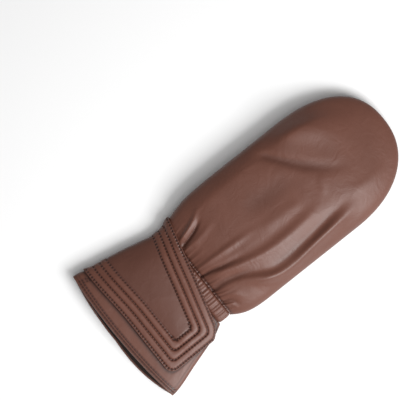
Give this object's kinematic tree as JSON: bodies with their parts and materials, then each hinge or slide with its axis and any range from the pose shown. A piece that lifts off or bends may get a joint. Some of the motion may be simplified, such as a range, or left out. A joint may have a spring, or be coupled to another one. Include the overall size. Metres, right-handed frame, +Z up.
{
  "type": "leather mitten",
  "caption": "Leather mitten lying palm down: hollow rounded hand, thumb folded under the palm, gathered wrist, flared cuff and a quilted flap wrapped over the cuff.",
  "frame": {"origin": "under the middle of the outline, on the surface that the mitten lies on", "axes": "+Y from the cuff to the fingertips, +X to the little finger's side, +Z up through the back of the hand"},
  "size_m": [0.129, 0.2875, 0.0304],
  "materials": {
    "smooth_leather": "smooth brown nappa with a soft sheen",
    "quilted_leather": "smooth brown nappa, padded and stitched in nested rows",
    "gathered_leather": "smooth brown nappa gathered on elastic"
  },
  "bodies": {
    "root": {"hand_back": "smooth_leather", "hand_palm": "smooth_leather", "thumb": "smooth_leather", "wrist_band": "gathered_leather", "cuff_back": "smooth_leather", "cuff_palm": "smooth_leather", "flap": "quilted_leather"}
  },
  "joints": []
}
